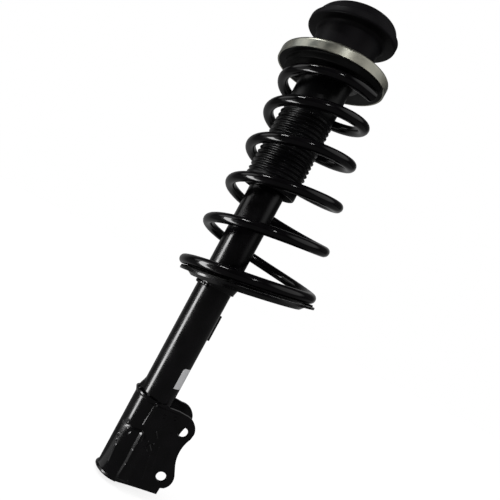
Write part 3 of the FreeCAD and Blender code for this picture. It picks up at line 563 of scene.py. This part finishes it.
def make_bump_stop():
    """Foam stop with two waists and rounded rings."""
    low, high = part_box("bump_stop")
    length = (high[2] - low[2]) * 1000
    head = drawn_height(high[2])
    foot = head - length
    third = length / 3
    outer = 21.0
    waist = outer * 0.84
    hole = 10.6
    profile = rounded([
        (hole, foot, 1.0), (outer * 0.78, foot, 1.5), (outer * 0.92, foot + 2.5, 2.5),
        (outer * 0.92, foot + third * 0.72, 3.0), (waist * 0.90, foot + third, 3.0),
        (outer, foot + third * 1.28, 4.0), (outer, foot + third * 1.72, 4.0),
        (waist, foot + third * 2, 3.0), (outer, foot + third * 2.28, 4.0),
        (outer, head, 0.3), (hole, head, 0.3)])
    stop = new_piece("bump_stop_foam", turned_mesh("bump_stop_foam", profile, 96), FOAM)
    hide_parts("bump_stop")
    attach(stop, "top_mount")


def make_mount_rubber():
    """Neck, flange with a rounded rim, and dome with the recess for the rod's nut."""
    low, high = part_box("top_mount_rubber")
    skirt = drawn_height(low[2])
    crown_top = drawn_height(high[2])
    widest = 54.8
    flange = 627.5
    rim_top = flange + 8.0
    neck = 36.7
    neck_top = 40.5
    pocket = 35.1
    crown = 24.0
    recess = 19.5
    recess_floor = crown_top - 16.0
    sleeve = 12.1
    core = 601.0
    profile = rounded([
        (pocket, skirt, 0.4), (neck, skirt, 1.0), (neck, skirt + 7.5, 5.0),
        (neck_top, flange - 2.5, 3.0), (neck_top + 2.5, flange, 2.0), (widest, flange, 2.8),
        (widest, rim_top, 2.8), (52.9, rim_top + 0.3, 1.2), (51.6, rim_top + 2.0, 2.0),
        (47.0, rim_top + 12.0, 7.0), (38.0, crown_top - 7.0, 5.0), (crown, crown_top, 1.5),
        (recess, crown_top, 0.8), (recess, recess_floor, 0.3), (sleeve, recess_floor, 0.2),
        (sleeve, core, 0.2), (pocket, core, 0.2)], 7)
    dome = new_piece("mount_rubber_dome", turned_mesh("mount_rubber_dome", profile, 160), MOUNT_RUBBER)
    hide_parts("top_mount_rubber")
    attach(dome, "top_mount")


# Pressings of the knuckle bracket: a closed skin on its near side, with the rib, groove,
# creases and dents that the press has left. A place on it is the way along the section
# from the bend on the tube, negative on the wrap, and the height above the tube's foot.
# Its back lies SKIN_ROOT deep in the bracket, and its rim sinks in by EDGE_DEPTH

WRAP_RADIUS = 26.55
EAR_FACE = 25.5
BEND_REACH = 28.3
SKIN_START = -42.0
SKIN_STOP = 37.5
SKIN_COUNT = 150
SKIN_ROOT = 1.2
EDGE_DEPTH = 0.2
GROOVE_HEIGHT = 86.0
RIB_RISE = 4.3
NOTCH_HEIGHTS = (60, 40)

# Creases and pleats: from and to, width, height
CREASES = (
    ((-0.6, 121.0), (-2.4, 91.5), 2.4, 1.45), ((15.2, 91.0), (20.6, 83.5), 1.5, 1.6),
    ((27.3, 74.5), (31.7, 48.0), 2.2, 0.9), ((22.1, 59.5), (27.1, 31.5), 2.2, 0.9),
    ((12.1, 75.7), (12.8, 68.0), 1.6, 1.5), ((12.8, 68.0), (16.5, 63.7), 1.6, 1.3),
    ((15.8, 72.6), (21.0, 66.5), 1.6, 1.2), ((19.6, 75.8), (19.6, 75.4), 1.8, 2.1),
    ((-20.5, 82.6), (-22.5, 81.6), 1.6, 1.1), ((-11.0, 75.0), (-12.5, 72.6), 1.6, 1.3),
    ((-16.5, 77.0), (-17.0, 76.6), 1.3, 0.7), ((-26.0, 64.0), (-25.0, 62.0), 1.5, 0.9),
    ((-24.5, 56.5), (-24.0, 55.5), 1.4, 0.9), ((-20.5, 50.0), (-18.5, 30.0), 2.2, 0.8),
    ((12.0, 20.0), (14.0, 19.2), 1.3, 0.8),
)
# Dimples with a raised edge: along, height, radius
DIMPLES = ((15.6, 112.2, 2.2), (29.0, 116.0, 2.4), (33.5, 96.0, 2.0))


def skin_edges(along):
    """Heights of the skin's lower and upper edge."""
    out = max(along, 0)
    return 12.8 + 0.165 * out, 122.9 + 0.07 * out


def apart(along, height, start, stop):
    """Distance on the skin from a straight crease."""
    run, rise = stop[0] - start[0], stop[1] - start[1]
    share = clamped(((along - start[0]) * run + (height - start[1]) * rise)
                    / (run * run + rise * rise))
    return math.hypot(along - start[0] - share * run, height - start[1] - share * rise)


def rib_height(along, height, groove):
    """Rib along the bend, up to the groove: steep on the wrap and long on the ear."""
    crest = 0.7 - 1.0 * (1 - step_up(height, 14, 50))
    if along < crest:
        top = 1 - step_up(height, groove - 5, groove - 1)
        width = 2.8 + 0.6 * step_up(height, 42, 62)
        flank = clamped(1 - (crest - along) / width)
        flank = 0.75 * flank + 0.25 * smooth(flank)
    else:
        top = 1 - step_up(height, groove - 20 + 14 * hill(along - crest, 3), groove - 1)
        flank = 1 - step_up(along - crest, 0.8, 16)
    notches = sum(hill(height - level, 1.2) for level in NOTCH_HEIGHTS)
    kept = 1 - 0.14 * notches * (1 - step_up(along, crest, crest + 3))
    return RIB_RISE * flank * step_up(height, 15, 20) * top * kept


def skin_height(along, height):
    """How far the skin stands off the bracket, in millimetres."""
    groove = GROOVE_HEIGHT + 0.22 * min(along, 0)
    on_wrap = step_up(-along, -2, 3)
    thick = 0.2 + 0.55 * (1 - step_up(along, 2, 34))
    # Step of the wrap under the groove, and the groove itself
    thick += 0.35 * (1 - step_up(height, groove - 4, groove + 2)) * on_wrap
    thick -= 0.85 * hill(height - groove, 3.2) * step_up(-along, -4, 4) * step_up(-along, 34, 28)
    thick += rib_height(along, height, groove)
    # Hollow beside the rib, and the crown of the wrap above the groove
    thick -= 0.5 * hill(along + 13, 8) * step_up(height, 24, 40) * (1 - step_up(height, 68, 80))
    thick += 0.5 * hill(along + 21.3, 10) * step_up(height, groove + 1, groove + 7)
    for start, stop, width, rise in CREASES:
        thick += rise * hill(apart(along, height, start, stop), width)
    for at, level, radius in DIMPLES:
        thick += 0.5 * hill(math.hypot(at - along, level - height) - radius, 1.2)
    foot, head = skin_edges(along)
    rim = min(along - SKIN_START, SKIN_STOP - along, height - foot, head - height)
    return thick * step_up(rim, 0, 4.0) - EDGE_DEPTH * (1 - step_up(rim, 0, 3.0))


def skin_point(column, share, depth=None):
    """Point of the skin, or a point of its back at a depth in the bracket."""
    along = SKIN_START + (SKIN_STOP - SKIN_START) * column / (SKIN_COUNT - 1)
    foot, head = skin_edges(along)
    height = foot + (head - foot) * share
    thick = skin_height(along, height) if depth is None else -depth
    if along < 0:
        return round_axis(WRAP_RADIUS + thick, -math.pi / 2 + along / WRAP_RADIUS, height)
    face = WRAP_RADIUS - (WRAP_RADIUS - EAR_FACE) * min(along / BEND_REACH, 1)
    return place(along, -face - thick, height)


def make_pressings():
    mesh = slab_mesh("bracket_pressings", SKIN_COUNT, skin_point, SKIN_ROOT)
    skin = new_piece("bracket_pressings", mesh, GLOSS_BLACK)
    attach(skin, "strut_body")


# Weld beads, the run-out of one of them, and the blank label

WELD_SIDES = 12


def ring_path(radius, height, start, stop, step=3.0):
    """Points on a ring round the strut's axis, from one bearing in degrees to another."""
    count = round((stop - start) / step)
    angles = [math.radians(start + (stop - start) * index / count) for index in range(count + 1)]
    return [Vector((radius * math.cos(angle), radius * math.sin(angle), height))
            for angle in angles]


def make_weld(name, path, radius, ripple=0.10):
    bead = new_piece(name, swept_mesh(name, path, radius, WELD_SIDES, ripple), GLOSS_BLACK)
    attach(bead, "strut_body")


def make_run_out():
    """Lump of weld that runs out upwards along the tube from the end of the head weld."""
    count = 25
    foot = 122.0
    length = 19.0
    proud_most = 3.8
    middle = 168.0
    spread = 60.0
    base = 22.3
    sunk = 0.2

    def lump_point(column, share, radius=None):
        across = column / (count - 1) - 0.5
        proud = proud_most * (1 - step_up(share, 0.15, 1.0)) * step_up(share, -0.6, 0.15)
        radius = radius or base + (proud + sunk) * hill(across, 0.5)
        return round_axis(radius, math.radians(middle + spread * across), foot + length * share)

    lump = new_piece("weld_run_out", slab_mesh("weld_run_out", count, lump_point, 21.7), GLOSS_BLACK)
    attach(lump, "strut_body")


def make_welds():
    make_weld("bracket_head_weld", ring_path(23.2, 123.6, 96, 186), 1.7)
    make_weld("bracket_foot_weld", ring_path(22.6, 13.6, 60, 300), 1.6)
    make_weld("seat_hub_weld", ring_path(23.6, 283.0, 0, 357), 1.7)
    make_weld("seat_tack_weld", ring_path(24.4, 280.4, 188, 236, 4.0), 2.2, 0.24)
    make_run_out()


def make_label():
    """Blank label on the tube, with its upper left corner rounded."""
    under = 22.49
    radius = 22.62
    foot = 147.5
    head = 176.0
    start = 296.5
    stop = 336
    corner_radius = 3.5

    def cut_corner(corner):
        turn = math.degrees(math.atan2(corner.y, corner.x)) % 360 - start
        short = max(corner_radius - math.radians(turn) * radius, 0.0)
        if corner.z > head - 1:
            corner.z -= corner_radius - math.sqrt(max(corner_radius ** 2 - short ** 2, 0.0))
        return place(*corner)

    profile = [(under, foot), (radius, foot), (radius, head), (under, head)]
    mesh = arc_mesh("blank_label", profile, start, stop, 48, cut_corner)
    label = new_piece("blank_label", mesh, PAPER, smooth_faces=False)
    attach(label, "strut_body")


make_coil_spring()
make_dust_boot()
make_upper_insulator()
make_lower_insulator()
make_bump_stop()
make_mount_rubber()
make_pressings()
make_welds()
make_label()


# Camera, in the photograph's place: close to the strut, level with its lower coils,
# rolled so that the strut leans to the right

PHOTO_SIDE = 500.0
FOCAL_PIXELS = 522.06
PRINCIPAL_X = 124.93
CAMERA_PLACE = Vector((-0.189817, -0.653918, 0.264007))
CAMERA_YAW = -0.029704
CAMERA_PITCH = -0.05630
CAMERA_ROLL = 0.48610


def make_camera():
    data = bpy.data.cameras.new("camera")
    data.sensor_fit = "HORIZONTAL"
    data.sensor_width = 36.0
    data.lens = data.sensor_width * FOCAL_PIXELS / PHOTO_SIDE
    data.shift_x = 0.5 - PRINCIPAL_X / PHOTO_SIDE
    data.clip_start = 0.01
    right = Vector((math.cos(CAMERA_YAW), math.sin(CAMERA_YAW), 0))
    level = Vector((-math.sin(CAMERA_YAW), math.cos(CAMERA_YAW), 0))
    forward = level * math.cos(CAMERA_PITCH) + Vector((0, 0, 1)) * math.sin(CAMERA_PITCH)
    up = right.cross(forward)
    rolled_right = right * math.cos(CAMERA_ROLL) + up * math.sin(CAMERA_ROLL)
    rolled_up = rolled_right.cross(forward)
    turn = Matrix((rolled_right, rolled_up, -forward)).transposed()
    camera = new_object("camera", data)
    camera.matrix_world = Matrix.Translation(CAMERA_PLACE) @ turn.to_4x4()
    bpy.context.scene.camera = camera


# Light of the room. The floor and the world each show gloss a room of their own: the white
# background behind the strut, a window on its left, a paler wall on its right and a dim
# front. Directions are those from the strut's axis. Each bright part has its direction,
# the cosines of the angle from it between which it fades in, and its brightness

BACKGROUND = ((0, 1, 0), 0.5, 0.9, 0.25)
WALL = ((0.717, -0.397, 0.574), 0.80, 0.95, 0.8)
WINDOW_SPREAD = (0.93, 0.975)
FLOOR_WINDOW = (-1.0, -0.09, 0)
WORLD_WINDOW = (-1.0, 0.17, 0.36)
FLOOR_GREY = (0.4, 0.4, 0.4, 1)
FLOOR_GLOW = 0.82
WORLD_FILL = 0.5


def vector_maths(tree, operation, first, second=None):
    node = tree.nodes.new("ShaderNodeVectorMath")
    node.operation = operation
    tree.links.new(first, node.inputs[0])
    if second is not None:
        node.inputs[1].default_value = second
    return node.outputs["Value" if operation == "DOT_PRODUCT" else "Vector"]


def combined(tree, operation, first, second):
    """Sum, product or the like of two sockets or numbers."""
    node = tree.nodes.new("ShaderNodeMath")
    node.operation = operation
    for socket, source in zip(node.inputs, (first, second)):
        if isinstance(source, float):
            socket.default_value = source
        else:
            tree.links.new(source, socket)
    return node.outputs["Value"]


def facing(tree, outwards, direction, start, stop, value):
    """Brightness that fades in where a direction comes near the given one."""
    fade = tree.nodes.new("ShaderNodeMapRange")
    fade.interpolation_type = "SMOOTHSTEP"
    fade.inputs["From Min"].default_value = start
    fade.inputs["From Max"].default_value = stop
    fade.inputs["To Max"].default_value = value
    dot = vector_maths(tree, "DOT_PRODUCT", outwards, Vector(direction).normalized())
    tree.links.new(dot, fade.inputs["Value"])
    return fade.outputs["Result"]


def room_light(tree, outwards, window, strength, front):
    """What gloss shows of the room, by direction, with the brightness of the window and of
    the dim front."""
    room = combined(tree, "MAXIMUM", facing(tree, outwards, *BACKGROUND), front)
    for lobe in ((window, *WINDOW_SPREAD, strength), WALL):
        room = combined(tree, "MAXIMUM", room, facing(tree, outwards, *lobe))
    return room


def seen_directly(tree, path):
    """One for the camera's rays and for those that pass through glass."""
    return combined(tree, "MAXIMUM", path.outputs["Is Camera Ray"],
                    path.outputs["Is Transmission Ray"])


def make_floor():
    """Pale floor that takes the strut's shadow and looks white; gloss sees the room in it."""
    reach = 6.0
    level = FOOT_Z - 0.0005
    corners = [(-reach, -reach, level), (reach, -reach, level), (reach, reach, level),
               (-reach, reach, level)]
    mesh = bpy.data.meshes.new("floor")
    mesh.from_pydata(corners, [], [(0, 1, 2, 3)])
    floor = new_object("floor", mesh)
    material, tree, shader = new_material("pale floor")
    shader.inputs["Base Color"].default_value = FLOOR_GREY
    shader.inputs["Roughness"].default_value = 0.9
    shader.inputs["Specular IOR Level"].default_value = 0.0
    path = tree.nodes.new("ShaderNodeLightPath")
    coordinates = tree.nodes.new("ShaderNodeTexCoord")
    white = tree.nodes.new("ShaderNodeEmission")
    glow = combined(tree, "MULTIPLY", seen_directly(tree, path), FLOOR_GLOW)
    tree.links.new(glow, white.inputs["Strength"])
    lit = tree.nodes.new("ShaderNodeAddShader")
    tree.links.new(shader.outputs["BSDF"], lit.inputs[0])
    tree.links.new(white.outputs["Emission"], lit.inputs[1])
    from_axis = vector_maths(tree, "SUBTRACT", coordinates.outputs["Object"], (AXIS_X, 0, level))
    outwards = vector_maths(tree, "NORMALIZE", from_axis)
    mirrored = tree.nodes.new("ShaderNodeEmission")
    room = room_light(tree, outwards, FLOOR_WINDOW, 0.65, 0.11)
    tree.links.new(room, mirrored.inputs["Strength"])
    mix = tree.nodes.new("ShaderNodeMixShader")
    tree.links.new(path.outputs["Is Glossy Ray"], mix.inputs["Fac"])
    tree.links.new(lit.outputs["Shader"], mix.inputs[1])
    tree.links.new(mirrored.outputs["Emission"], mix.inputs[2])
    tree.links.new(mix.outputs["Shader"], tree.nodes["Material Output"].inputs["Surface"])
    mesh.materials.append(material)


def make_world():
    """White for the camera and for glass, the room for gloss, and a plain fill for the rest."""
    world = bpy.data.worlds.new("studio")
    world.use_nodes = True
    tree = world.node_tree
    background = tree.nodes["Background"]
    background.inputs["Color"].default_value = (1, 1, 1, 1)
    path = tree.nodes.new("ShaderNodeLightPath")
    coordinates = tree.nodes.new("ShaderNodeTexCoord")
    room = room_light(tree, coordinates.outputs["Generated"], WORLD_WINDOW, 1.3, 0.04)
    mirrored = combined(tree, "MULTIPLY", path.outputs["Is Glossy Ray"], room)
    fill = combined(tree, "MULTIPLY", path.outputs["Is Diffuse Ray"], WORLD_FILL)
    seen = combined(tree, "MAXIMUM", seen_directly(tree, path), mirrored)
    strength = combined(tree, "MAXIMUM", seen, fill)
    tree.links.new(strength, background.inputs["Strength"])
    bpy.context.scene.world = world


def make_lamp(name, spot, target, width, height, power):
    data = bpy.data.lights.new(name, "AREA")
    data.shape = "RECTANGLE"
    data.size = width
    data.size_y = height
    data.energy = power
    lamp = new_object(name, data)
    lamp.location = spot
    away = Vector(spot) - Vector(target)
    lamp.rotation_euler = away.to_track_quat("Z", "Y").to_euler()
    lamp.visible_camera = False
    return lamp


def make_lamps():
    """A strip on the left that only gloss shows, as the line of light down the tube, and two
    lamps, above on the left and in front."""
    middle = (AXIS_X, 0.0, 0.30)
    strip_level = 0.1365
    strip = make_lamp("window strip", (-0.30, -0.052, strip_level), (AXIS_X, 0.0, strip_level),
                      0.07, 0.389, 1.35)
    strip.visible_diffuse = False
    make_lamp("upper left lamp", (-0.95, -0.25, 1.35), middle, 0.30, 0.07, 4.0)
    make_lamp("front lamp", (-0.14, -1.32, 1.05), middle, 0.10, 0.10, 1.8)


make_camera()
make_floor()
make_world()
make_lamps()

bpy.context.scene.view_settings.view_transform = "Standard"
